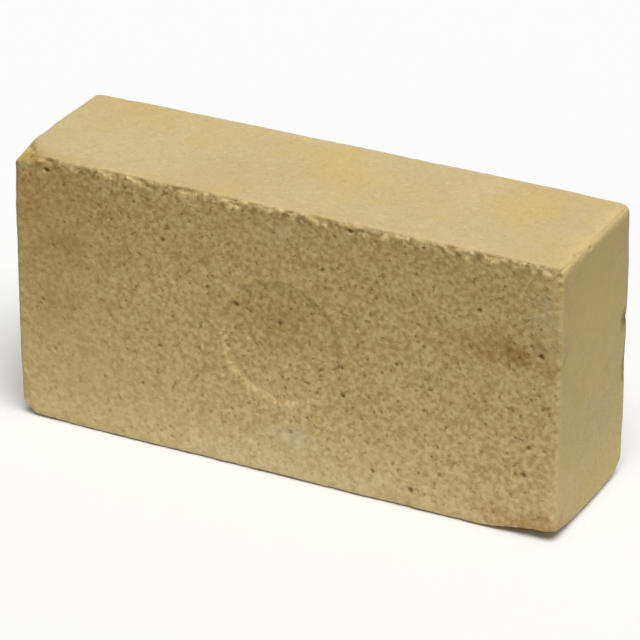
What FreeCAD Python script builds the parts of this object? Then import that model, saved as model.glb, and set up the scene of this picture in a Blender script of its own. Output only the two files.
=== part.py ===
"""Refractory firebrick: one dry-pressed and fired block that stands on its long edge.

X runs along the length, Y through the thickness, which is the way the press closed, and Z up
the width. The origin is the middle of the face that the brick stands on, and the front pressed
face looks along -Y. All sizes are in millimetres.
"""

import FreeCAD, Part
import math
import os
import Sketcher

NODE = "firebrick"

# Driving dimensions, one spreadsheet cell each
SIZES = {
    "brick_length": 230.0,  # along X
    "brick_width": 114.0,  # along Z, as the brick stands on its long edge
    "brick_thickness": 64.0,  # along Y, between the two pressed faces
    "die_corner_radius": 3.5,  # rounding that the die's corners give the four edges along Y
    "arris_radius": 1.6,  # rounding of the edges round the two pressed faces
    "dish_diameter": 52.0,  # blank round pressing in the middle of the front face, across its rim
    "dish_wall": 2.0,  # radial width of its sloping wall
    "dish_wall_depth": 1.1,  # depth at the foot of that wall
    "dish_hollow": 0.4,  # how much deeper its dished floor goes in the middle
    "dish_lip_radius": 1.2,  # softening of its rim
    "chip_flatness": 2.0,  # over 1: the higher, the nearer a knocked corner's hollow is to flat
    # How far each knocked corner reaches along the three edges that met there
    "front_top_left_x": 14.0,
    "front_top_left_y": 17.0,
    "front_top_left_z": 4.5,
    "front_bottom_left_x": 5.0,
    "front_bottom_left_y": 6.0,
    "front_bottom_left_z": 6.0,
    "front_bottom_right_x": 33.0,
    "front_bottom_right_y": 21.0,
    "front_bottom_right_z": 4.0,
    "back_bottom_right_x": 6.0,
    "back_bottom_right_y": 9.0,
    "back_bottom_right_z": 6.0,
}

# Side of the brick's middle on which each knocked corner lies, on X, Y and Z
KNOCKED_CORNERS = {
    "front_top_left": (-1, -1, 1),
    "front_bottom_left": (-1, -1, -1),
    "front_bottom_right": (1, -1, -1),
    "back_bottom_right": (1, 1, -1),
}

START, END, CENTRE = range(1, 4)  # the points of a sketch's curve
H_AXIS, V_AXIS = range(-1, -3, -1)  # the axes of a sketch
ON_PLANE = 1e-4  # how near to a plane or a line counts as on it


def make_sheet(doc):
    """Fill the spreadsheet: a name and a plain number on each row, the number under its alias."""
    sheet = doc.addObject("Spreadsheet::Sheet", "Sizes")
    for row, (name, value) in enumerate(SIZES.items(), start=1):
        sheet.set(f"A{row}", name)
        sheet.set(f"B{row}", str(value))
        sheet.setAlias(f"B{row}", name)
    doc.recompute()


def new_sketch(body, name, role):
    """Return an empty sketch of the body on one of its own origin planes."""
    plane = next(feature for feature in body.Origin.OriginFeatures if feature.Role == role)
    sketch = body.newObject("Sketcher::SketchObject", name)
    sketch.AttachmentSupport = [(plane, "")]
    sketch.MapMode = "FlatFace"
    return sketch


def line(start, end):
    """Return a line between two points of a sketch."""
    return Part.LineSegment(FreeCAD.Vector(*start), FreeCAD.Vector(*end))


def add_closed_chain(sketch, curves):
    """Add curves that follow one another, each one's end joined to the next one's start."""
    for curve in curves:
        sketch.addGeometry(curve, False)
    for index in range(len(curves)):
        constrain(sketch, "Coincident", index, END, (index + 1) % len(curves), START)


def constrain(sketch, kind, *geometry):
    """Add a constraint without a size."""
    sketch.addConstraint(Sketcher.Constraint(kind, *geometry))


def dimension(sketch, expression, kind, *geometry):
    """Add a dimension that follows an expression of the sheet's cells."""
    value = sketch.evalExpression(expression)
    index = sketch.addConstraint(Sketcher.Constraint(kind, *geometry, value))
    sketch.setExpression(f"Constraints[{index}]", expression)


def press_block(doc, body):
    """Pad the outline of the pressed faces through the brick's thickness."""
    half, width = SIZES["brick_length"] / 2, SIZES["brick_width"]
    corners = [(-half, 0), (half, 0), (half, width), (-half, width)]
    sketch = new_sketch(body, "bed_outline", "XZ_Plane")
    add_closed_chain(sketch, [line(a, b) for a, b in zip(corners, corners[1:] + corners[:1])])
    bottom, right, top, left = range(len(corners))
    constrain(sketch, "PointOnObject", bottom, START, H_AXIS)
    constrain(sketch, "Symmetric", bottom, START, bottom, END, V_AXIS)
    constrain(sketch, "Vertical", right)
    constrain(sketch, "Horizontal", top)
    constrain(sketch, "Vertical", left)
    dimension(sketch, "Sizes.brick_length", "DistanceX", bottom, START, bottom, END)
    dimension(sketch, "Sizes.brick_width", "DistanceY", right, START, right, END)

    block = body.newObject("PartDesign::Pad", "pressed_block")
    block.Profile = sketch
    block.SideType = "Symmetric"
    block.setExpression("Length", "Sizes.brick_thickness")
    doc.recompute()


def press_dish(doc, body):
    """Turn the blank pressing out of the front face: a sloping wall round a dished floor."""
    face = -SIZES["brick_thickness"] / 2
    mouth = (face, 0)
    rim = (face, SIZES["dish_diameter"] / 2)
    foot = (face + SIZES["dish_wall_depth"], rim[1] - SIZES["dish_wall"])
    deepest = (foot[0] + SIZES["dish_hollow"], 0)
    floor_radius = (foot[1] ** 2 + SIZES["dish_hollow"] ** 2) / (2 * SIZES["dish_hollow"])
    floor_centre = FreeCAD.Vector(deepest[0] - floor_radius, 0)
    floor_circle = Part.Circle(floor_centre, FreeCAD.Vector(0, 0, 1), floor_radius)
    floor_arc = Part.ArcOfCircle(floor_circle, 0, math.asin(foot[1] / floor_radius))

    sketch = new_sketch(body, "dish_section", "YZ_Plane")
    sketch.setExpression("AttachmentOffset.Base.y", "Sizes.brick_width / 2")
    add_closed_chain(sketch, [line(mouth, deepest), floor_arc, line(foot, rim), line(rim, mouth)])
    axis, floor, wall, opening = range(4)
    constrain(sketch, "PointOnObject", axis, START, H_AXIS)
    constrain(sketch, "PointOnObject", axis, END, H_AXIS)
    constrain(sketch, "PointOnObject", floor, CENTRE, H_AXIS)
    constrain(sketch, "Vertical", opening)
    dimension(sketch, "-Sizes.brick_thickness / 2", "DistanceX", axis, START)
    dimension(sketch, "Sizes.dish_diameter / 2", "DistanceY", opening, END, opening, START)
    dimension(sketch, "Sizes.dish_wall", "DistanceY", wall, START, wall, END)
    dimension(sketch, "Sizes.dish_wall_depth", "DistanceX", wall, END, wall, START)
    depth = "Sizes.dish_wall_depth + Sizes.dish_hollow"
    dimension(sketch, depth, "DistanceX", axis, START, axis, END)

    dish = body.newObject("PartDesign::Groove", "dish")
    dish.Profile = sketch
    dish.ReferenceAxis = (sketch, ["H_Axis"])
    doc.recompute()


def knock_corner(doc, body, name, sides):
    """Break a corner away with a shallow round hollow that has its own reach along each edge.

    The hollow is part of a ball. The product of a line's two crossings of a ball, measured from
    the corner, is the same along all three edges. Set that product, and the ball's centre and
    radius follow from the three reaches.
    """
    reach = {axis: f"Sizes.{name}_{axis}" for axis in "xyz"}
    product = f"Sizes.chip_flatness * max({'; '.join(reach.values())}) ^ 2"
    beyond = {axis: f"({product} - {near} ^ 2) / (2 * {near})" for axis, near in reach.items()}
    distances = " + ".join(f"({gap}) ^ 2" for gap in beyond.values())
    half = {
        "x": "Sizes.brick_length / 2",
        "y": "Sizes.brick_thickness / 2",
        "z": "Sizes.brick_width / 2",
    }
    middle = {"x": "0", "y": "0", "z": half["z"]}

    ball = body.newObject("PartDesign::SubtractiveSphere", f"{name}_chip")
    ball.setExpression("Radius", f"sqrt({product} + {distances})")
    for axis, side in zip("xyz", sides):
        place = f"{middle[axis]} + {side} * ({half[axis]} + {beyond[axis]})"
        ball.setExpression(f".Placement.Base.{axis}", place)
    doc.recompute()


def round_edges(doc, body, name, radius, chosen):
    """Fillet those edges of the body's last feature that the given test chooses."""
    base = body.Tip
    edges = [f"Edge{i}" for i, edge in enumerate(base.Shape.Edges, start=1) if chosen(edge)]
    fillet = body.newObject("PartDesign::Fillet", name)
    fillet.Base = (base, edges)
    fillet.setExpression("Radius", f"Sizes.{radius}")
    doc.recompute()


def runs_through_thickness(edge):
    """Tell whether an edge runs straight from one pressed face to the other."""
    box = edge.BoundBox
    return max(box.XLength, box.ZLength) < ON_PLANE


def borders_pressed_face(edge):
    """Tell whether an edge lies in the plane of one of the two pressed faces."""
    box = edge.BoundBox
    return box.YLength < ON_PLANE and abs(abs(box.YMin) - SIZES["brick_thickness"] / 2) < ON_PLANE


def is_dish_rim(edge):
    """Tell whether an edge is the round rim of the pressing, the one closed edge of its face."""
    return borders_pressed_face(edge) and edge.isClosed()


def expect_cut(body, step, *settings):
    """Run a step that takes material away and stop if it took none."""
    before = body.Shape.Volume
    step(*settings)
    if body.Shape.Volume >= before:
        raise RuntimeError(f"{body.Tip.Name} cut nothing")


def build_firebrick(doc):
    """Return the brick as one body: pressed, rounded, marked with its dish, then knocked about."""
    body = doc.addObject("PartDesign::Body", NODE)
    body.Label = NODE
    press_block(doc, body)
    round_edges(doc, body, "die_corners", "die_corner_radius", runs_through_thickness)
    round_edges(doc, body, "arrises", "arris_radius", borders_pressed_face)
    expect_cut(body, press_dish, doc, body)
    round_edges(doc, body, "dish_lip", "dish_lip_radius", is_dish_rim)
    for name, sides in KNOCKED_CORNERS.items():
        expect_cut(body, knock_corner, doc, body, name, sides)
    return body


def check(doc, body):
    """Stop if any object of the document failed or the brick isn't one sound solid."""
    for item in doc.Objects:
        if {"Invalid", "Error"} & set(item.State):
            raise RuntimeError(f"{item.Name} failed: {item.State}")
    shape = body.Shape
    if shape.isNull() or not shape.isValid() or len(shape.Solids) != 1:
        raise RuntimeError(f"{body.Label} is not one valid solid")


def main():
    """Build the brick, check it and write its file."""
    doc = FreeCAD.newDocument(NODE)
    make_sheet(doc)
    body = build_firebrick(doc)
    check(doc, body)
    os.makedirs("parts", exist_ok=True)
    body.Shape.exportStep(f"parts/{body.Label}.step")
    box = body.Shape.optimalBoundingBox()
    print(f"{body.Label}: {box.XLength:.2f} x {box.YLength:.2f} x {box.ZLength:.2f} mm")


main()
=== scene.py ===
"""Looks of a refractory firebrick: dry-pressed fireclay, gritty on its beds and smooth on its die walls.

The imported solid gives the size, the round pressing and the knocked corners. This script wears a fine
mesh of that solid inwards, dresses it in fired clay and stands it on a pale studio floor. The beds are
the two pressed faces, the die walls are the four faces between them, and an arris is an edge.
"""

import logging
import math
from dataclasses import dataclass
from enum import Enum
from typing import ClassVar, NamedTuple

import bmesh
import bpy
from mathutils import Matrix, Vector


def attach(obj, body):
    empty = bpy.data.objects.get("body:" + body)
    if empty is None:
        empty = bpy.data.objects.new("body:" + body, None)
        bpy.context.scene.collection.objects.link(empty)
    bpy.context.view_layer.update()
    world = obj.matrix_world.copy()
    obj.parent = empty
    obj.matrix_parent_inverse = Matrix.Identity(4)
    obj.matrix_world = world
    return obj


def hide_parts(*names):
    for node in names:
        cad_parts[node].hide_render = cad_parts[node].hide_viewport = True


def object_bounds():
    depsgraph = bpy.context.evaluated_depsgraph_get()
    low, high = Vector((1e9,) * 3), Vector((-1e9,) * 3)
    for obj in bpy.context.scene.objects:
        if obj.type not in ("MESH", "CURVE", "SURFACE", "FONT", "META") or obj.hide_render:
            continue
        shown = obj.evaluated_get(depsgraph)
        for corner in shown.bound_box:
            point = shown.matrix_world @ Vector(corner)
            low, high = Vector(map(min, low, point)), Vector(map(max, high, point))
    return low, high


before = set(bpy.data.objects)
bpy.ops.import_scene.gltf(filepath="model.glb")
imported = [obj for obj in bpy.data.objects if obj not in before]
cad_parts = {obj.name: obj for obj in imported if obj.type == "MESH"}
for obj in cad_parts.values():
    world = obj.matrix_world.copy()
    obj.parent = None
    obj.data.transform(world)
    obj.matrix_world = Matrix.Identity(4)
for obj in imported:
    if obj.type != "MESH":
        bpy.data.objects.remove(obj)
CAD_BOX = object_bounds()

NODE = "firebrick"
PIECE = "fired_brick"
BODY = "root"
MM = 0.001  # one millimetre in the frame's metres

# The solid's box in millimetres, and the faces of it that marks are placed from
BOX_LOW, BOX_HIGH = (corner / MM for corner in CAD_BOX)
BOX_MIDDLE = (BOX_LOW + BOX_HIGH) / 2
BOX_HALF = (BOX_HIGH - BOX_LOW) / 2
FRONT_BED = BOX_LOW.y
BACK_BED = BOX_HIGH.y
RIGHT_END = BOX_HIGH.x
TOP = BOX_HIGH.z

ALONG_BED = (1.0, 0.0, 1.0)  # keeps of a vector what lies in the plane of a bed
GRAIN_TURN = (0.5, 0.8, 0.3)  # radians, so that no pattern lines up with an arris
STAIN_DEPTH = 12.0  # mm from a bed, at which its stains have nearly run out
CORNER_RUB = "Corner Rub"
WHITE = "#ffffff"

# The curve of the sRGB standard: a straight foot, then a power
SRGB_FOOT = 0.04045
SRGB_SLOPE = 12.92
SRGB_LIFT = 0.055
SRGB_POWER = 2.4

Value = float | bpy.types.Node | bpy.types.NodeSocket  # what a node's input can be given

log = logging.getLogger(NODE)


class Mark(Enum):
    """What the wear leaves on each point of the brick for its finish to read."""

    ROUGH = "rough_face"
    # Pits, pores, nicks and knocks, which the finish darkens with painted shade
    PIT = "pit"
    CHIP = "chipped_arris"


class Blend(Enum):
    """How a layer lies over the clay."""

    PAINT = "MIX"
    TINT = "MULTIPLY"


class Zone(Enum):
    """Where on the brick a pattern belongs."""

    EVERYWHERE = "everywhere"
    BED = "rough beds and breaks"
    WALL = "smooth die walls"
    BREAK = "knocked corners"
    ARRIS = "every arris"
    HANDLED_ARRIS = "arrises, most of all the top one at the front"
    DIE_CORNER = "the four edges from bed to bed"
    CORNER = "where three faces meet"
    # Where the finish paints the shadow under the top arris, and crumbs partly painted as lit
    UNDER_TOP = "front bed just under its top arris"


class Band(NamedTuple):
    """Where along a measure something is full, and where nothing is left of it."""

    full: float
    gone: float


def linear(hex_code: str) -> tuple[float, float, float, float]:
    """Turn an sRGB colour into linear light.

    Args:
        hex_code: A hash and six hex digits.

    Returns:
        Red, green and blue between 0 and 1, and an alpha of 1.
    """
    levels = [byte / 0xFF for byte in bytes.fromhex(hex_code.removeprefix("#"))]
    light = []
    for level in levels:
        foot = level / SRGB_SLOPE
        power = ((level + SRGB_LIFT) / (1 + SRGB_LIFT)) ** SRGB_POWER
        light.append(power if level > SRGB_FOOT else foot)
    return (*light, 1.0)


def add_node(
    tree: bpy.types.NodeTree, kind: str, inputs: dict[str | int, object] | None = None, **settings: object
) -> bpy.types.Node:
    """Add a node with its settings and links.

    Args:
        tree: The tree that gets the node.
        kind: The node's type.
        inputs: A value, a node or a node's socket for each input, by the input's name or number.
        **settings: Properties of the node.

    Returns:
        The new node.
    """
    node = tree.nodes.new(kind)
    for name, value in settings.items():
        setattr(node, name, value)
    for key, value in (inputs or {}).items():
        named = (socket for socket in node.inputs if socket.enabled and socket.name == key)
        target = node.inputs[key] if isinstance(key, int) else next(named)
        if isinstance(value, bpy.types.Node):
            value = next(socket for socket in value.outputs if socket.enabled)
        if isinstance(value, bpy.types.NodeSocket):
            tree.links.new(value, target)
        else:
            target.default_value = value
    return node


class Faces:
    """Where a place lies among the brick's faces, for a geometry tree and a shader tree alike.

    Sizes are in millimetres.
    """

    FRONT_HALF = Band(full=-12.0, gone=12.0)  # through the thickness, from the brick's middle
    TOP_PART = Band(full=TOP - 6.0, gone=TOP - 14.0)
    BREAK_DEPTH = Band(full=2.0, gone=0.8)  # below the nearest face, from about where a rounded edge ends
    BREAK_REACH = Band(full=6.0, gone=12.0)  # from the nearest arris, which leaves out the pressing
    ARRIS = Band(full=0.4, gone=4.0)
    HANDLED_ARRIS = Band(full=0.6, gone=4.5)
    OTHER_ARRISES = 0.3  # share of the top front arris's handling that the others get
    HANDLED_SKIN = Band(full=1.0, gone=-0.6)  # by roughness, as a smooth wall crumbles less than a bed
    DIE_CORNER = Band(full=1.2, gone=5.0)
    CORNER = Band(full=5.0, gone=24.0)
    # Line and band of the painted shadow and the crumbs under the top arris
    SHADOW_AND_CRUMB_LINE = 2.4  # below the top
    SHADOW_AND_CRUMB_BAND = Band(full=0.6, gone=3.6)  # to either side of that line
    SHARE = Band(full=1.0, gone=0.0)  # along a measure that runs from 0 to 1
    RAGGED_DETAIL = 1.0  # finer layers of a ragged outline

    def __init__(self, tree: bpy.types.NodeTree, metres: Value, rough: Value) -> None:
        """Measure how deep a place lies below each pair of faces.

        Args:
            tree: The tree that gets the measures.
            metres: The place in the brick's frame.
            rough: 1 on the beds and on breaks, 0 on the die walls.
        """
        self.tree = tree
        self.rough = rough
        self.place = add_node(tree, "ShaderNodeVectorMath", {0: metres, "Scale": 1 / MM}, operation="SCALE")
        turned = {"Vector": self.place, "Rotation": GRAIN_TURN}
        self.grain = add_node(tree, "ShaderNodeVectorRotate", turned, rotation_type="EULER_XYZ")
        middle = {0: self.place, 1: BOX_MIDDLE}
        self.offset = add_node(tree, "ShaderNodeVectorMath", middle, operation="SUBTRACT")
        self.away = add_node(tree, "ShaderNodeVectorMath", {0: self.offset}, operation="ABSOLUTE")
        below = add_node(tree, "ShaderNodeVectorMath", {0: BOX_HALF, 1: self.away}, operation="SUBTRACT")
        end, bed, edge = add_node(tree, "ShaderNodeSeparateXYZ", {"Vector": below}).outputs
        nearer = add_node(tree, "ShaderNodeMath", {0: end, 1: bed}, operation="MINIMUM")
        further = add_node(tree, "ShaderNodeMath", {0: end, 1: bed}, operation="MAXIMUM")
        second = add_node(tree, "ShaderNodeMath", {0: further, 1: edge}, operation="MINIMUM")
        self.from_edge = edge
        self.from_face = add_node(tree, "ShaderNodeMath", {0: nearer, 1: edge}, operation="MINIMUM")
        self.from_arris = add_node(tree, "ShaderNodeMath", {0: nearer, 1: second}, operation="MAXIMUM")
        self.from_die_corner = add_node(tree, "ShaderNodeMath", {0: end, 1: edge}, operation="MAXIMUM")
        self.from_corner = add_node(tree, "ShaderNodeMath", {0: further, 1: edge}, operation="MAXIMUM")
        _, across, self.height = add_node(tree, "ShaderNodeSeparateXYZ", {"Vector": self.place}).outputs
        self.front = self.fade(across, self.FRONT_HALF)

    def fade(self, measure: Value, band: Band, strength: Value = 1.0, rest: Value = 0.0) -> bpy.types.Node:
        """Fade out along a measure.

        Args:
            measure: A distance, a share or a noise level.
            band: Where along the measure the strength is full and where it is gone.
            strength: The full strength.
            rest: What is left where it is gone.

        Returns:
            The node that holds the strength.
        """
        steps = {
            "Value": measure,
            "From Min": band.gone,
            "From Max": band.full,
            "To Min": rest,
            "To Max": strength,
        }
        return add_node(self.tree, "ShaderNodeMapRange", steps, interpolation_type="SMOOTHSTEP")

    def ragged(self, place: Value, size: float, seed: float) -> bpy.types.Node:
        """Shake a place about, so that outlines drawn from it turn ragged.

        Args:
            place: The place.
            size: How far and how finely it is shaken.
            seed: The pattern's seed.

        Returns:
            The node that holds the shaken place.
        """
        cloud = {"Vector": self.grain, "W": seed, "Scale": 1 / size, "Detail": self.RAGGED_DETAIL}
        shaken = add_node(self.tree, "ShaderNodeTexNoise", cloud, noise_dimensions="4D").outputs["Color"]
        push = {0: shaken, 1: Vector((size, size, size)), 2: place}
        return add_node(self.tree, "ShaderNodeVectorMath", push, operation="MULTIPLY_ADD")

    def outward(self, turn: float) -> bpy.types.Node:
        """Say which way is out, turning slowly from one face to the next.

        Args:
            turn: How far from an arris the turn begins.

        Returns:
            The node that holds the direction.
        """
        tree = self.tree
        core = BOX_HALF - Vector((turn, turn, turn))
        past = add_node(tree, "ShaderNodeVectorMath", {0: self.away, 1: core}, operation="SUBTRACT")
        outside = add_node(tree, "ShaderNodeVectorMath", {0: past, 1: Vector()}, operation="MAXIMUM")
        signs = add_node(tree, "ShaderNodeVectorMath", {0: self.offset}, operation="SIGN")
        turned = add_node(tree, "ShaderNodeVectorMath", {0: outside, 1: signs}, operation="MULTIPLY")
        return add_node(tree, "ShaderNodeVectorMath", {0: turned}, operation="NORMALIZE")

    def zone(self, zone: Zone) -> Value:
        """Say how far a place belongs to a zone.

        Args:
            zone: The zone.

        Returns:
            1 inside the zone, 0 outside it.
        """
        tree = self.tree
        match zone:
            case Zone.EVERYWHERE:
                return 1.0
            case Zone.BED:
                return self.rough
            case Zone.WALL:
                return add_node(tree, "ShaderNodeMath", {0: 1.0, 1: self.rough}, operation="SUBTRACT")
            case Zone.BREAK:
                near = self.fade(self.from_arris, self.BREAK_REACH)
                return self.fade(self.from_face, self.BREAK_DEPTH, near)
            case Zone.ARRIS:
                return self.fade(self.from_arris, self.ARRIS)
            case Zone.HANDLED_ARRIS:
                high = self.fade(self.height, self.TOP_PART, self.front)
                handling = self.fade(high, self.SHARE, rest=self.OTHER_ARRISES)
                near = self.fade(self.from_arris, self.HANDLED_ARRIS, handling)
                return self.fade(self.rough, self.HANDLED_SKIN, near)
            case Zone.DIE_CORNER:
                return self.fade(self.from_die_corner, self.DIE_CORNER)
            case Zone.CORNER:
                return self.fade(self.from_corner, self.CORNER)
            case Zone.UNDER_TOP:
                bed = add_node(tree, "ShaderNodeMath", {0: self.front, 1: self.rough}, operation="MULTIPLY")
                high = self.fade(self.height, self.TOP_PART, bed)
                line = {0: self.from_edge, 1: self.SHADOW_AND_CRUMB_LINE}
                past = add_node(tree, "ShaderNodeMath", line, operation="SUBTRACT")
                gap = add_node(tree, "ShaderNodeMath", {0: past}, operation="ABSOLUTE")
                return self.fade(gap, self.SHADOW_AND_CRUMB_BAND, high)


@dataclass(frozen=True)
class Patches:
    """Soft irregular patches."""

    size: float  # mm across the coarsest patch
    begins: float  # noise level at which a patch begins
    full: float  # noise level at which it is full
    seed: float
    zone: Zone = Zone.EVERYWHERE
    detail: float = 2.0  # number of finer layers
    roughness: float = 0.5  # how strong the finer layers are
    distortion: float = 0.0  # how far the patches are pulled out of line

    def cover(self, faces: Faces, strength: float = 1.0) -> bpy.types.Node:
        """Scatter the patches.

        Args:
            faces: The faces of the tree that gets them.
            strength: The strength of a full patch.

        Returns:
            The node that holds the patches' strength.
        """
        cloud = {
            "Vector": faces.grain,
            "W": self.seed,
            "Scale": 1 / self.size,
            "Detail": self.detail,
            "Roughness": self.roughness,
            "Distortion": self.distortion,
        }
        noise = add_node(faces.tree, "ShaderNodeTexNoise", cloud, noise_dimensions="4D")
        within = {0: faces.zone(self.zone), 1: strength}
        most = add_node(faces.tree, "ShaderNodeMath", within, operation="MULTIPLY")
        return faces.fade(noise, Band(full=self.full, gone=self.begins), most)


@dataclass(frozen=True)
class Grains:
    """Ragged round grains or pores strewn through the clay."""

    radius: float  # mm, of a grain cut through its middle
    spacing: float  # mm, the usual distance between neighbours
    seed: float
    zone: Zone = Zone.BED
    rim: float = 0.6  # share of the radius over which a grain fades in

    def cover(self, faces: Faces, strength: float = 1.0) -> bpy.types.Node:
        """Strew the grains.

        Args:
            faces: The faces of the tree that gets them.
            strength: The strength in the middle of a grain.

        Returns:
            The node that holds the grains' strength.
        """
        tree = faces.tree
        pushed = faces.ragged(faces.grain, self.radius, self.seed)
        shift = {0: pushed, 1: (self.seed * self.spacing, 0.0, 0.0)}
        shifted = add_node(tree, "ShaderNodeVectorMath", shift, operation="ADD")
        cells = add_node(tree, "ShaderNodeTexVoronoi", {"Vector": shifted, "Scale": 1 / self.spacing})
        within = {0: faces.zone(self.zone), 1: strength}
        most = add_node(tree, "ShaderNodeMath", within, operation="MULTIPLY")
        outline = self.radius / self.spacing
        return faces.fade(cells, Band(full=outline * (1 - self.rim), gone=outline), most)


@dataclass(frozen=True)
class Pores:
    """Open pores of the front bed that lie where the photo shows them."""

    places: tuple[tuple[float, float], ...]  # mm along the brick and up
    radius: float  # mm
    seed: float
    rim: float = 0.6  # share of the radius over which a pore fades in

    def cover(self, faces: Faces, strength: float = 1.0) -> bpy.types.Node:
        """Open the pores.

        Args:
            faces: The faces of the tree that gets them.
            strength: The strength in the middle of a pore.

        Returns:
            The node that holds the pores' strength.
        """
        tree = faces.tree
        place = faces.ragged(faces.place, self.radius, self.seed)
        flat = add_node(tree, "ShaderNodeVectorMath", {0: place, 1: ALONG_BED}, operation="MULTIPLY")
        # A shaken place lies half the shaking's size off on average, so the middles move with it
        shaken_off = Vector(ALONG_BED) * self.radius / 2
        nearest = BOX_HALF.length
        for along, up in self.places:
            reach = {0: flat, 1: Vector((along, 0.0, up)) + shaken_off}
            away = add_node(tree, "ShaderNodeVectorMath", reach, operation="DISTANCE").outputs["Value"]
            nearest = add_node(tree, "ShaderNodeMath", {0: nearest, 1: away}, operation="MINIMUM")
        most = add_node(tree, "ShaderNodeMath", {0: faces.front, 1: strength}, operation="MULTIPLY")
        return faces.fade(nearest, Band(full=self.radius * (1 - self.rim), gone=self.radius), most)


@dataclass(frozen=True)
class Smudge:
    """A stain on the clay, a patch of painted light or shade, or a shallow knock: an egg-shaped cloud that
    fades out from its middle.
    """

    HEART: ClassVar[Band] = Band(full=0.1, gone=1.2)  # shares of its reach
    WANDER: ClassVar[Band] = Band(full=0.7, gone=0.3)  # noise levels between which its outline wanders

    middle: tuple[float, float, float]  # mm
    reach: tuple[float, float, float]  # mm
    seed: float
    raggedness: float = 0.4  # how far its outline wanders, as a share of its reach

    def cover(self, faces: Faces, strength: float = 1.0) -> bpy.types.Node:
        """Lay the smudge.

        Args:
            faces: The faces of the tree that gets it.
            strength: The strength in the smudge's middle.

        Returns:
            The node that holds the smudge's strength.
        """
        tree = faces.tree
        centre = {0: faces.place, 1: self.middle}
        offset = add_node(tree, "ShaderNodeVectorMath", centre, operation="SUBTRACT")
        share = add_node(tree, "ShaderNodeVectorMath", {0: offset, 1: self.reach}, operation="DIVIDE")
        length = add_node(tree, "ShaderNodeVectorMath", {0: share}, operation="LENGTH").outputs["Value"]
        begins, full = self.WANDER.gone, self.WANDER.full
        outline = Patches(size=min(self.reach) / 2, begins=begins, full=full, seed=self.seed)
        wander = {0: length, 1: outline.cover(faces, self.raggedness)}
        uneven = add_node(tree, "ShaderNodeMath", wander, operation="ADD")
        return faces.fade(uneven, self.HEART, strength)


@dataclass(frozen=True)
class Marked:
    """The places that the wear has marked."""

    mark: Mark

    def cover(self, faces: Faces, strength: float = 1.0) -> bpy.types.Node:
        """Read the mark.

        Args:
            faces: The faces of the tree that reads it.
            strength: The strength of a full mark.

        Returns:
            The node that holds the mark's strength.
        """
        read = add_node(faces.tree, "ShaderNodeAttribute", attribute_name=self.mark.value).outputs["Fac"]
        return add_node(faces.tree, "ShaderNodeMath", {0: read, 1: strength}, operation="MULTIPLY")


# Two knocks between the right end and the back bed, which the wear sinks and the finish darkens with painted
# shade
UPPER_KNOCK = Smudge(middle=(RIGHT_END, BACK_BED - 2.0, 67.0), reach=(8.0, 7.0, 6.0), seed=55.0)
LOWER_KNOCK = Smudge(middle=(RIGHT_END, BACK_BED, 48.0), reach=(8.0, 6.0, 12.0), seed=56.0)


@dataclass(frozen=True)
class Layer:
    """A colour that lies over the clay in a pattern."""

    colour: str
    strength: float
    pattern: Patches | Grains | Smudge | Marked
    blend: Blend = Blend.PAINT


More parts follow.
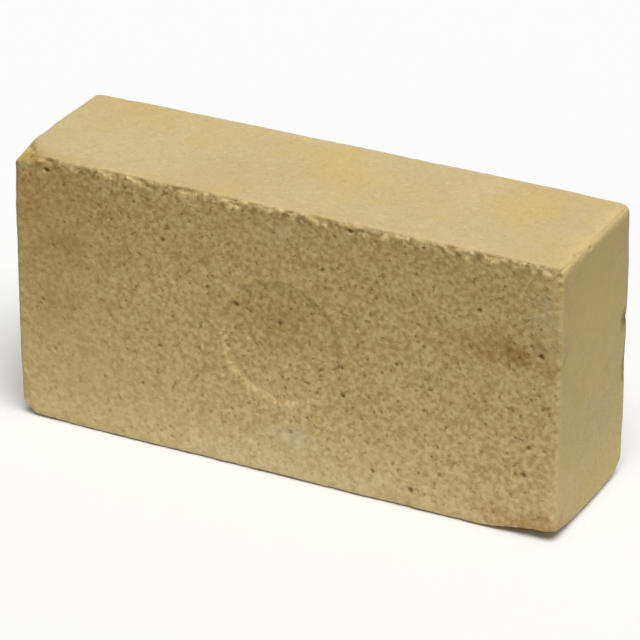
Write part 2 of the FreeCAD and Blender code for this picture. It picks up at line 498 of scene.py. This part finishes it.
@dataclass(frozen=True)
class DryPressedFireclay:
    """Finish of dry-pressed and fired fireclay: straw-coloured, chalky and without any shine.

    The press leaves coarse grog, pores and dark iron specks open on the two beds. The die walls are
    rubbed smooth as the brick is pushed out, so they are paler and nearly even. The real grain is about
    0.5 mm across. The grain of the beds and walls and the grit are drawn 2 to 3 mm coarse, so that they
    show. Stains lie where the photo shows them.
    """

    bed_colour: str = "#ae945c"
    wall_colour: str = "#bfad7f"
    roughness: float = 0.95  # unglazed and dusty
    specular_level: float = 0.2  # a chalky body hardly shines
    grit: Patches = Patches(size=2.2, begins=0.2, full=0.8, seed=21.0, roughness=0.7)
    grit_height: float = 0.14  # mm
    wall_grit: float = 0.12  # share of that height on the die walls

    # Slow clouds of the firing, and a yellow and a pinkish bloom on the die walls
    firing: tuple[Layer, ...] = (
        Layer("#a98e57", strength=0.25, pattern=Patches(size=48.0, begins=0.4, full=0.7, seed=3.0)),
        Layer(
            "#c2aa62",
            strength=0.4,
            pattern=Patches(size=34.0, begins=0.45, full=0.7, seed=4.0, zone=Zone.WALL),
        ),
        Layer(
            "#cbb394",
            strength=0.35,
            pattern=Patches(size=24.0, begins=0.5, full=0.72, seed=8.0, zone=Zone.WALL),
        ),
    )
    wall_grain: tuple[Layer, ...] = (
        Layer(
            "#9d8750",
            strength=0.3,
            pattern=Patches(size=2.4, begins=0.45, full=0.75, seed=9.0, zone=Zone.WALL, distortion=1.5),
        ),
        Layer(
            "#d8c89c",
            strength=0.28,
            pattern=Patches(size=2.8, begins=0.5, full=0.75, seed=14.0, zone=Zone.WALL, distortion=1.5),
        ),
    )
    # Pale and dark grog, with coarser blotches of both in between
    bed_grain: tuple[Layer, ...] = (
        Layer(
            "#d5c088",
            strength=0.8,
            pattern=Patches(size=1.9, begins=0.28, full=0.72, seed=10.0, zone=Zone.BED),
        ),
        Layer(
            "#8d7442",
            strength=0.22,
            pattern=Patches(size=9.0, begins=0.5, full=0.76, seed=5.0, zone=Zone.BED, detail=3.0),
        ),
        Layer(
            "#d9c793",
            strength=0.2,
            pattern=Patches(size=8.0, begins=0.52, full=0.76, seed=7.0, zone=Zone.BED, detail=3.0),
        ),
        Layer(
            "#796235",
            strength=0.65,
            pattern=Patches(size=2.1, begins=0.58, full=0.72, seed=12.0, zone=Zone.BED),
        ),
    )
    # Large pale grog and iron specks
    specks: tuple[Layer, ...] = (
        Layer("#dfcf9f", strength=0.5, pattern=Grains(radius=1.0, spacing=7.0, seed=19.0)),
        Layer("#5e4a24", strength=0.55, pattern=Grains(radius=0.8, spacing=10.0, seed=13.0)),
    )
    # Painted shadow and pale crumbs under the top arris, the crumbs partly painted highlight; rubbed edges,
    # chips and breaks; and painted shade in the pits, pores, nicks and knocks
    handling: tuple[Layer, ...] = (
        # Painted shadow under the top arris, in a broken band
        Layer(
            "#6f552b",
            strength=0.6,
            pattern=Patches(size=3.4, begins=0.42, full=0.62, seed=15.0, zone=Zone.UNDER_TOP),
        ),
        # Pale crumbs under the top arris, painted paler still as a highlight where they face the sun
        Layer(
            "#e8d69e",
            strength=0.65,
            pattern=Patches(size=2.8, begins=0.54, full=0.66, seed=20.0, zone=Zone.UNDER_TOP),
        ),
        Layer(
            "#cfc095",
            strength=0.3,
            pattern=Patches(size=5.0, begins=0.35, full=0.6, seed=6.0, zone=Zone.ARRIS),
        ),
        Layer(
            "#cbb98c",
            strength=0.4,
            pattern=Patches(size=3.0, begins=0.3, full=0.55, seed=16.0, zone=Zone.DIE_CORNER),
        ),
        Layer(
            "#8a744a",
            strength=0.5,
            pattern=Patches(size=3.2, begins=0.56, full=0.68, seed=22.0, zone=Zone.DIE_CORNER),
        ),
        Layer("#cdbc8e", strength=0.5, pattern=Marked(Mark.CHIP)),
        Layer(
            "#a8904f",
            strength=0.6,
            pattern=Patches(size=6.0, begins=0.35, full=0.6, seed=17.0, zone=Zone.BREAK),
        ),
        Layer(
            "#6e592b",
            strength=0.75,
            pattern=Patches(size=2.4, begins=0.55, full=0.7, seed=18.0, zone=Zone.BREAK),
        ),
        # Painted shade in the pits, pores, nicks and knocks
        Layer("#6a5228", strength=0.7, pattern=Marked(Mark.PIT)),
    )
    # Brown stains at the right and at the left of the front bed
    brown_stains: tuple[Layer, ...] = (
        Layer(
            "#b4905c",
            strength=0.6,
            pattern=Smudge(
                middle=(98.0, FRONT_BED, 76.0), reach=(34.0, STAIN_DEPTH, 13.0), seed=41.0, raggedness=0.6
            ),
            blend=Blend.TINT,
        ),
        Layer(
            "#c2a074",
            strength=0.35,
            pattern=Smudge(middle=(-93.0, FRONT_BED, 77.0), reach=(15.0, STAIN_DEPTH, 11.0), seed=48.0),
            blend=Blend.TINT,
        ),
        Layer(
            "#c2a074",
            strength=0.3,
            pattern=Smudge(middle=(-98.0, FRONT_BED, 52.0), reach=(15.0, STAIN_DEPTH, 12.0), seed=49.0),
            blend=Blend.TINT,
        ),
    )
    # A darker upper left; an upper part a shade darker and warmer, partly painted shade where less light
    # comes up from the floor; and painted shade on the upper half of the pressing, where its hollow faces
    # down
    shades: tuple[Layer, ...] = (
        Layer(
            "#d8c68a",
            strength=0.35,
            pattern=Smudge(middle=(-112.0, FRONT_BED, 100.0), reach=(80.0, STAIN_DEPTH, 60.0), seed=42.0),
            blend=Blend.TINT,
        ),
        # Upper part a shade darker and warmer, partly painted shade where less light comes up from the floor
        Layer(
            "#fff9e4",
            strength=0.45,
            pattern=Smudge(middle=(-10.0, FRONT_BED, 98.0), reach=(180.0, STAIN_DEPTH, 62.0), seed=59.0),
            blend=Blend.TINT,
        ),
        # Painted shade on the upper half of the pressing, where its hollow faces down
        Layer(
            "#d1c295",
            strength=0.5,
            pattern=Smudge(middle=(-2.0, FRONT_BED + 1.0, 66.0), reach=(27.0, STAIN_DEPTH, 16.0), seed=47.0),
            blend=Blend.TINT,
        ),
    )
    # A pale foot, partly pale dust and partly painted light bounced up from the floor, and pale smears
    # low in the middle, high in the middle and at the upper right
    pale_smears_and_painted_light: tuple[Layer, ...] = (
        # Pale foot, partly pale dust and partly painted light bounced up from the floor
        Layer(
            "#d6c7a2",
            strength=0.45,
            pattern=Smudge(middle=(-10.0, FRONT_BED, -6.0), reach=(190.0, STAIN_DEPTH, 46.0), seed=43.0),
        ),
        Layer(
            "#cdbfa0",
            strength=0.45,
            pattern=Smudge(middle=(6.0, FRONT_BED, 18.0), reach=(16.0, STAIN_DEPTH, 9.0), seed=46.0),
        ),
        Layer(
            "#c3b08c",
            strength=0.3,
            pattern=Smudge(middle=(0.0, FRONT_BED, 103.0), reach=(20.0, STAIN_DEPTH, 8.0), seed=50.0),
        ),
        Layer(
            "#c4b794",
            strength=0.35,
            pattern=Smudge(middle=(109.0, FRONT_BED, 92.0), reach=(9.0, STAIN_DEPTH, 20.0), seed=53.0),
        ),
    )
    # A yellower left part of the front bed, and yellow on the right end
    yellow_bloom: tuple[Layer, ...] = (
        Layer(
            "#bda570",
            strength=0.5,
            pattern=Smudge(middle=(-92.0, FRONT_BED, 26.0), reach=(95.0, STAIN_DEPTH, 56.0), seed=54.0),
        ),
        Layer(
            "#b59b62",
            strength=0.45,
            pattern=Smudge(middle=(-104.0, FRONT_BED, 74.0), reach=(56.0, STAIN_DEPTH, 52.0), seed=58.0),
        ),
        Layer(
            "#d0b674",
            strength=0.65,
            pattern=Smudge(middle=(RIGHT_END, 0.0, 92.0), reach=(14.0, 60.0, 60.0), seed=51.0),
        ),
        Layer(
            "#c6b072",
            strength=0.4,
            pattern=Smudge(middle=(RIGHT_END, -24.0, 28.0), reach=(14.0, 26.0, 28.0), seed=57.0),
        ),
    )
    # A brown break at the lower right, a yellow one at the upper left, and painted shade in the two knocks
    knocks: tuple[Layer, ...] = (
        Layer(
            "#c99a5e",
            strength=0.5,
            pattern=Smudge(middle=(106.0, FRONT_BED, 4.0), reach=(32.0, 16.0, 11.0), seed=44.0),
            blend=Blend.TINT,
        ),
        Layer(
            "#b7a256",
            strength=0.3,
            pattern=Smudge(middle=(-112.0, FRONT_BED + 2.0, 112.0), reach=(14.0, 16.0, 8.0), seed=45.0),
        ),
        # Painted shade in the two knocks
        Layer("#54462a", strength=0.6, pattern=UPPER_KNOCK),
        Layer("#43371e", strength=0.7, pattern=LOWER_KNOCK),
    )

    def layers(self) -> tuple[Layer, ...]:
        """Return all layers, the lowest first."""
        clay = (*self.firing, *self.wall_grain, *self.bed_grain, *self.specks, *self.handling)
        return (*clay, *self.brown_stains, *self.shades, *self.pale_smears_and_painted_light, *self.yellow_bloom, *self.knocks)

    def material(self) -> bpy.types.Material:
        """Build the finish as a material.

        Returns:
            The material.
        """
        material = bpy.data.materials.new("dry_pressed_fireclay")
        material.use_nodes = True
        tree = material.node_tree
        tree.nodes.clear()
        place = add_node(tree, "ShaderNodeTexCoord").outputs["Object"]
        rough = add_node(tree, "ShaderNodeAttribute", attribute_name=Mark.ROUGH.value).outputs["Fac"]
        faces = Faces(tree, place, rough)
        # Chalky clay scatters light evenly: colour and grit carry the look, with hardly any gloss
        body = {
            "Base Color": self.colour(faces),
            "Roughness": self.roughness,
            "Specular IOR Level": self.specular_level,
            "Normal": self.fine_relief(faces),
        }
        shader = add_node(tree, "ShaderNodeBsdfPrincipled", body)
        add_node(tree, "ShaderNodeOutputMaterial", {"Surface": shader})
        return material

    def colour(self, faces: Faces) -> bpy.types.Node:
        """Lay the colours of the clay over one another.

        Args:
            faces: The faces of the material's tree.

        Returns:
            The node that holds the colour.
        """
        clay = {"Factor": faces.rough, "A": linear(self.wall_colour), "B": linear(self.bed_colour)}
        base = add_node(faces.tree, "ShaderNodeMix", clay, data_type="RGBA")
        for layer in self.layers():
            cover = layer.pattern.cover(faces, layer.strength)
            mix = {"Factor": cover, "A": base, "B": linear(layer.colour)}
            base = add_node(faces.tree, "ShaderNodeMix", mix, data_type="RGBA", blend_type=layer.blend.value)
        return base

    def fine_relief(self, faces: Faces) -> bpy.types.Node:
        """Roughen the surface below what the mesh can hold.

        Args:
            faces: The faces of the material's tree.

        Returns:
            The node that holds the bumped normal.
        """
        share = faces.fade(faces.rough, Faces.SHARE, rest=self.wall_grit)
        height = {0: self.grit.cover(faces), 1: share}
        raised = add_node(faces.tree, "ShaderNodeMath", height, operation="MULTIPLY")
        return add_node(faces.tree, "ShaderNodeBump", {"Height": raised, "Distance": self.grit_height * MM})


@dataclass(frozen=True)
class Bite:
    """A way in which the surface sinks below the sharp brick."""

    name: str
    depth: float  # mm
    pattern: Patches | Grains | Pores | Smudge
    mark: Mark | None = None  # what it leaves for the finish to read


@dataclass(frozen=True)
class Wear:
    """How pressing, firing and handling sank the surface.

    The grit of a bed is about 0.5 mm across in a real brick and drawn coarser, so that it shows.
    """

    bites: tuple[Bite, ...] = (
        Bite("Swell", depth=0.4, pattern=Patches(size=70.0, begins=0.2, full=0.8, seed=31.0, detail=1.0)),
        Bite("Grit", depth=0.2, pattern=Patches(size=2.8, begins=0.3, full=0.7, seed=32.0, zone=Zone.BED)),
        Bite(
            "Wide Pore",
            depth=1.0,
            pattern=Pores(
                places=(
                    (-100.0, 108.5), (-19.5, 69.0), (29.0, 111.0), (107.0, 76.5), (55.0, 8.0), (101.0, 26.0),
                ),
                radius=1.5,
                seed=39.0,
            ),
            mark=Mark.PIT,
        ),
        Bite(
            "Narrow Pore",
            depth=0.6,
            pattern=Pores(
                places=(
                    (-103.5, 53.0), (-52.0, 44.5), (-50.0, 90.0), (-1.0, 65.0), (4.0, 20.5), (17.5, 92.0),
                    (26.0, 53.0), (48.5, 60.0), (59.0, 110.5), (82.0, 90.0), (103.0, 38.0),
                ),
                radius=1.15,
                seed=40.0,
            ),
            mark=Mark.PIT,
        ),
        Bite("Large Pit", depth=0.9, pattern=Grains(radius=1.1, spacing=17.0, seed=33.0), mark=Mark.PIT),
        Bite("Small Pit", depth=0.4, pattern=Grains(radius=0.85, spacing=7.5, seed=34.0), mark=Mark.PIT),
        Bite(
            "Chip",
            depth=1.5,
            pattern=Patches(size=9.0, begins=0.47, full=0.72, seed=35.0, zone=Zone.HANDLED_ARRIS, detail=3.0),
            mark=Mark.CHIP,
        ),
        Bite(
            "Nick",
            depth=0.8,
            pattern=Grains(radius=1.3, spacing=6.5, seed=41.0, zone=Zone.DIE_CORNER),
            mark=Mark.PIT,
        ),
        Bite("Upper Knock", depth=0.4, pattern=UPPER_KNOCK, mark=Mark.PIT),
        Bite("Lower Knock", depth=0.4, pattern=LOWER_KNOCK, mark=Mark.PIT),
        Bite(
            "Fracture",
            depth=1.6,
            pattern=Patches(size=4.0, begins=0.3, full=0.7, seed=38.0, zone=Zone.BREAK, detail=3.0),
        ),
        Bite(
            "Crumble",
            depth=0.8,
            pattern=Patches(size=3.0, begins=0.35, full=0.65, seed=36.0, zone=Zone.HANDLED_ARRIS),
        ),
    )
    rough_facing: Band = Band(full=0.75, gone=0.95)  # share of the normal that lies along the beds
    corner_rub: int = 16  # rounds of smoothing that the corners get from handling
    turn: float = 6.0  # mm from an arris, where the way inwards begins to turn

    def tree(self, finish: bpy.types.Material) -> tuple[bpy.types.NodeTree, dict[str, float]]:
        """Build the nodes that wear down a fine mesh of the brick.

        Args:
            finish: The material of the worn mesh.

        Returns:
            The tree, and the value of each of its inputs by its socket's identifier.
        """
        tree = bpy.data.node_groups.new("worn_brick", "GeometryNodeTree")
        tree.interface.new_socket("Geometry", in_out="INPUT", socket_type="NodeSocketGeometry")
        tree.interface.new_socket("Geometry", in_out="OUTPUT", socket_type="NodeSocketGeometry")
        values = {}
        for bite in self.bites:
            socket = tree.interface.new_socket(bite.name, in_out="INPUT", socket_type="NodeSocketFloat")
            values[socket.identifier] = bite.depth
        rounds = tree.interface.new_socket(CORNER_RUB, in_out="INPUT", socket_type="NodeSocketInt")
        values[rounds.identifier] = self.corner_rub

        given = add_node(tree, "NodeGroupInput")
        faces = self.faces(tree)
        depth, marks = self.bitten(faces, given)
        geometry = self.rub_corners(faces, given)
        for mark, cover in marks.items():
            stored = {"Geometry": geometry, "Name": mark.value, "Value": cover}
            geometry = add_node(
                tree, "GeometryNodeStoreNamedAttribute", stored, data_type="FLOAT", domain="POINT"
            )
        worn = self.sink(faces, geometry, depth)
        whole = add_node(tree, "GeometryNodeRealizeInstances", {"Geometry": worn})
        dressed = add_node(tree, "GeometryNodeSetMaterial", {"Geometry": whole, "Material": finish})
        add_node(tree, "NodeGroupOutput", {"Geometry": dressed})
        return tree, values

    def faces(self, tree: bpy.types.NodeTree) -> Faces:
        """Tell the smooth die walls from the rough rest by the way they face.

        Args:
            tree: The geometry tree.

        Returns:
            The faces of the tree.
        """
        normal = add_node(tree, "GeometryNodeInputNormal")
        along = add_node(tree, "ShaderNodeVectorMath", {0: normal, 1: ALONG_BED}, operation="MULTIPLY")
        to_wall = add_node(tree, "ShaderNodeVectorMath", {0: along}, operation="LENGTH").outputs["Value"]
        steps = {"Value": to_wall, "From Min": self.rough_facing.gone, "From Max": self.rough_facing.full}
        rough = add_node(tree, "ShaderNodeMapRange", steps, interpolation_type="SMOOTHSTEP")
        faces = Faces(tree, add_node(tree, "GeometryNodeInputPosition"), rough)
        either = {0: rough, 1: faces.zone(Zone.BREAK)}
        faces.rough = add_node(tree, "ShaderNodeMath", either, operation="MAXIMUM")
        return faces

    def bitten(self, faces: Faces, given: bpy.types.Node) -> tuple[Value, dict[Mark, Value]]:
        """Add up the bites.

        Args:
            faces: The faces of the geometry tree.
            given: The node with the tree's inputs.

        Returns:
            How far a point sinks, in millimetres, and the strength of each mark that it gets.
        """
        depth = 0.0
        marks = {Mark.ROUGH: faces.rough}
        for bite in self.bites:
            cover = bite.pattern.cover(faces)
            deeper = {0: cover, 1: given.outputs[bite.name], 2: depth}
            depth = add_node(faces.tree, "ShaderNodeMath", deeper, operation="MULTIPLY_ADD")
            if bite.mark:
                either = {0: cover, 1: marks.get(bite.mark, 0.0)}
                marks[bite.mark] = add_node(faces.tree, "ShaderNodeMath", either, operation="MAXIMUM")
        return depth, marks

    def rub_corners(self, faces: Faces, given: bpy.types.Node) -> bpy.types.Node:
        """Round off the corners where three faces meet.

        Args:
            faces: The faces of the geometry tree.
            given: The node with the tree's inputs.

        Returns:
            The node that holds the rubbed mesh.
        """
        rub = {
            "Value": add_node(faces.tree, "GeometryNodeInputPosition"),
            "Iterations": given.outputs[CORNER_RUB],
            "Weight": faces.zone(Zone.CORNER),
        }
        rubbed = add_node(faces.tree, "GeometryNodeBlurAttribute", rub, data_type="FLOAT_VECTOR")
        block = {"Geometry": given.outputs["Geometry"], "Position": rubbed}
        return add_node(faces.tree, "GeometryNodeSetPosition", block)

    def sink(self, faces: Faces, geometry: bpy.types.Node, depth: Value) -> bpy.types.Node:
        """Sink the surface, and keep it inside the solid's box.

        Args:
            faces: The faces of the geometry tree.
            geometry: The node that holds the mesh.
            depth: How far a point sinks, in millimetres.

        Returns:
            The node that holds the sunk mesh.
        """
        tree = faces.tree
        inward = add_node(tree, "ShaderNodeMath", {0: depth, 1: -MM}, operation="MULTIPLY")
        way = {0: faces.outward(self.turn), "Scale": inward}
        offset = add_node(tree, "ShaderNodeVectorMath", way, operation="SCALE")
        sunk = add_node(tree, "GeometryNodeSetPosition", {"Geometry": geometry, "Offset": offset})
        here = add_node(tree, "GeometryNodeInputPosition")
        low, high = CAD_BOX
        above = add_node(tree, "ShaderNodeVectorMath", {0: here, 1: low}, operation="MAXIMUM")
        within = add_node(tree, "ShaderNodeVectorMath", {0: above, 1: high}, operation="MINIMUM")
        return add_node(tree, "GeometryNodeSetPosition", {"Geometry": sunk, "Position": within})


@dataclass
class Firebrick:
    """The brick: one fired piece, worn down from a fine mesh of its solid."""

    finish: DryPressedFireclay
    wear: Wear
    voxel: float = 0.6  # mm, of the mesh that is worn down
    triangles: int = 190_000  # what is left once flat places are thinned out
    weld: float = 0.01  # mm between points of the solid's mesh that are one

    def merged_solid(self) -> bpy.types.Mesh:
        """Join up the loose triangles of the solid's mesh.

        Returns:
            A merged copy of the mesh.
        """
        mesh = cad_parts[NODE].data.copy()
        shell = bmesh.new()
        shell.from_mesh(mesh)
        bmesh.ops.remove_doubles(shell, verts=shell.verts, dist=self.weld * MM)
        shell.to_mesh(mesh)
        shell.free()
        mesh.materials.clear()
        return mesh

    @staticmethod
    def evaluated(piece: bpy.types.Object) -> bpy.types.Mesh:
        """Return a plain mesh of a piece as its modifiers leave it."""
        return bpy.data.meshes.new_from_object(piece.evaluated_get(bpy.context.evaluated_depsgraph_get()))

    def worn_mesh(self) -> bpy.types.Mesh:
        """Wear down a fine mesh of the solid, dress it and thin it out.

        Returns:
            The finished mesh.
        """
        blank = bpy.data.objects.new("blank_brick", self.merged_solid())
        bpy.context.collection.objects.link(blank)
        fine = blank.modifiers.new("fine_mesh", "REMESH")
        fine.mode = "VOXEL"
        fine.voxel_size = self.voxel * MM
        fine.use_smooth_shade = True
        worn = blank.modifiers.new("wear", "NODES")
        worn.node_group, values = self.wear.tree(self.finish.material())
        for identifier, value in values.items():
            worn[identifier] = value
        full = self.evaluated(blank)
        full.calc_loop_triangles()
        thin = blank.modifiers.new("thin_out", "DECIMATE")
        thin.ratio = min(1.0, self.triangles / len(full.loop_triangles))
        bpy.context.view_layer.update()
        mesh = self.evaluated(blank)
        mesh.name = PIECE
        bpy.data.objects.remove(blank)
        bpy.data.meshes.remove(full)
        return mesh

    def build(self) -> bpy.types.Object:
        """Build the brick and give it to the frame.

        Returns:
            The finished piece.
        """
        brick = bpy.data.objects.new(PIECE, self.worn_mesh())
        bpy.context.collection.objects.link(brick)
        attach(brick, BODY)
        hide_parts(NODE)
        return brick


def shown_to_eye(tree: bpy.types.NodeTree) -> bpy.types.Node:
    """Tell the rays that show a background to the eye from those that only carry light.

    Args:
        tree: The tree of the background's material or of the world.

    Returns:
        1 for a ray from the camera, also through glass or off metal, and 0 for the rest.
    """
    path = add_node(tree, "ShaderNodeLightPath").outputs
    shown = path["Is Camera Ray"]
    for ray in ("Is Glossy Ray", "Is Transmission Ray"):
        shown = add_node(tree, "ShaderNodeMath", {0: shown, 1: path[ray]}, operation="MAXIMUM")
    return shown


@dataclass(frozen=True)
class MattPaper:
    """Finish of matt white paper: one even pale shade with nothing on it but the brick's shadow.

    Less light comes back to the brick from the paper further away, as from a sheet of limited size.
    """

    colour: str = "#e9e9e9"
    far_colour: str = "#707070"  # what the brick gets back from further away
    near: float = 30.0  # mm from the brick's foot
    far: float = 220.0  # mm from the brick's foot

    def material(self) -> bpy.types.Material:
        """Build the finish as a material.

        Returns:
            The material.
        """
        material = bpy.data.materials.new("matt_white_paper")
        material.use_nodes = True
        tree = material.node_tree
        tree.nodes.clear()
        place = add_node(tree, "ShaderNodeTexCoord").outputs["Object"]
        away = add_node(tree, "ShaderNodeVectorMath", {0: place}, operation="ABSOLUTE")
        past = add_node(tree, "ShaderNodeVectorMath", {0: away, 1: BOX_HALF * MM}, operation="SUBTRACT")
        outside = add_node(tree, "ShaderNodeVectorMath", {0: past, 1: Vector()}, operation="MAXIMUM")
        distance = add_node(tree, "ShaderNodeVectorMath", {0: outside}, operation="LENGTH").outputs["Value"]
        steps = {"Value": distance, "From Min": self.near * MM, "From Max": self.far * MM}
        fade = add_node(tree, "ShaderNodeMapRange", steps, interpolation_type="SMOOTHSTEP")
        bounce = {"Factor": fade, "A": linear(self.colour), "B": linear(self.far_colour)}
        returned = add_node(tree, "ShaderNodeMix", bounce, data_type="RGBA")
        shades = {"Factor": shown_to_eye(tree), "A": returned, "B": linear(self.colour)}
        shade = add_node(tree, "ShaderNodeMix", shades, data_type="RGBA")
        paper = add_node(tree, "ShaderNodeBsdfDiffuse", {"Color": shade})
        add_node(tree, "ShaderNodeOutputMaterial", {"Surface": paper})
        return material


@dataclass
class Studio:
    """Pale paper floor, soft daylight from above and the camera."""

    LOOKS_LEVEL: ClassVar[float] = 90.0  # degrees from straight down, at which a camera looks level

    paper: MattPaper
    floor_side: float = 20.0  # m
    floor_drop: float = 0.2  # mm below the brick, so that the two never share a plane
    room_strength: float = 1.0  # white, where the camera sees the room
    sky_strength: float = 0.3  # what the room lights the brick with
    sun_strength: float = 3.05
    sun_softness: float = 40.0  # degrees across
    sun_to_front: float = 16.0  # degrees from overhead
    sun_to_right: float = 16.0  # degrees from overhead
    lens: float = 225.0  # mm on a 36 mm sensor
    aim: tuple[float, float, float] = (1.4, -1.1, 53.8)  # mm
    distance: float = 1532.0  # mm
    azimuth: float = 26.8  # degrees round to the brick's right
    elevation: float = 27.0  # degrees

    def lay_floor(self) -> None:
        """Lay the paper under the brick."""
        half = self.floor_side / 2
        low = -self.floor_drop * MM
        corners = [(-half, -half, low), (half, -half, low), (half, half, low), (-half, half, low)]
        mesh = bpy.data.meshes.new("paper_floor")
        mesh.from_pydata(corners, [], [range(len(corners))])
        mesh.materials.append(self.paper.material())
        floor = bpy.data.objects.new("paper_floor", mesh)
        bpy.context.collection.objects.link(floor)
        log.info("%s: %.0f m square", floor.name, self.floor_side)

    def hang_sun(self) -> None:
        """Hang a soft sun over the brick."""
        lamp = bpy.data.lights.new("soft_sun", "SUN")
        lamp.energy = self.sun_strength
        lamp.angle = math.radians(self.sun_softness)
        sun = bpy.data.objects.new("soft_sun", lamp)
        front = math.tan(math.radians(self.sun_to_front))
        right = math.tan(math.radians(self.sun_to_right))
        sun.rotation_euler = Vector((right, -front, 1.0)).to_track_quat("Z", "Y").to_euler()
        bpy.context.collection.objects.link(sun)

    def fill_room(self) -> None:
        """Fill the room with even light, and make it white where the camera sees it."""
        world = bpy.data.worlds.new("white_room")
        world.use_nodes = True
        tree = world.node_tree
        tree.nodes.clear()
        level = {"Value": shown_to_eye(tree), "To Min": self.sky_strength, "To Max": self.room_strength}
        strength = add_node(tree, "ShaderNodeMapRange", level)
        sky = add_node(tree, "ShaderNodeBackground", {"Color": linear(WHITE), "Strength": strength})
        add_node(tree, "ShaderNodeOutputWorld", {"Surface": sky})
        bpy.context.scene.world = world

    def place_camera(self) -> None:
        """Set the camera where the photo was taken from."""
        data = bpy.data.cameras.new("camera")
        data.lens = self.lens
        data.dof.use_dof = False
        camera = bpy.data.objects.new("camera", data)
        tilt = math.radians(self.LOOKS_LEVEL - self.elevation)
        camera.rotation_euler = (tilt, 0.0, math.radians(self.azimuth))
        away = camera.rotation_euler.to_matrix() @ Vector((0.0, 0.0, self.distance))
        camera.location = (Vector(self.aim) + away) * MM
        bpy.context.collection.objects.link(camera)
        bpy.context.scene.camera = camera

    def build(self) -> None:
        """Set up the floor, the light and the camera."""
        self.lay_floor()
        self.hang_sun()
        self.fill_room()
        self.place_camera()
        bpy.context.scene.view_settings.view_transform = "Standard"


def main() -> None:
    """Build the brick and its studio."""
    logging.basicConfig(level=logging.INFO, format="%(name)s: %(message)s")
    Studio(MattPaper()).build()
    brick = Firebrick(DryPressedFireclay(), Wear()).build()
    log.info("%s: %d faces", brick.name, len(brick.data.polygons))


if __name__ == "__main__":
    main()
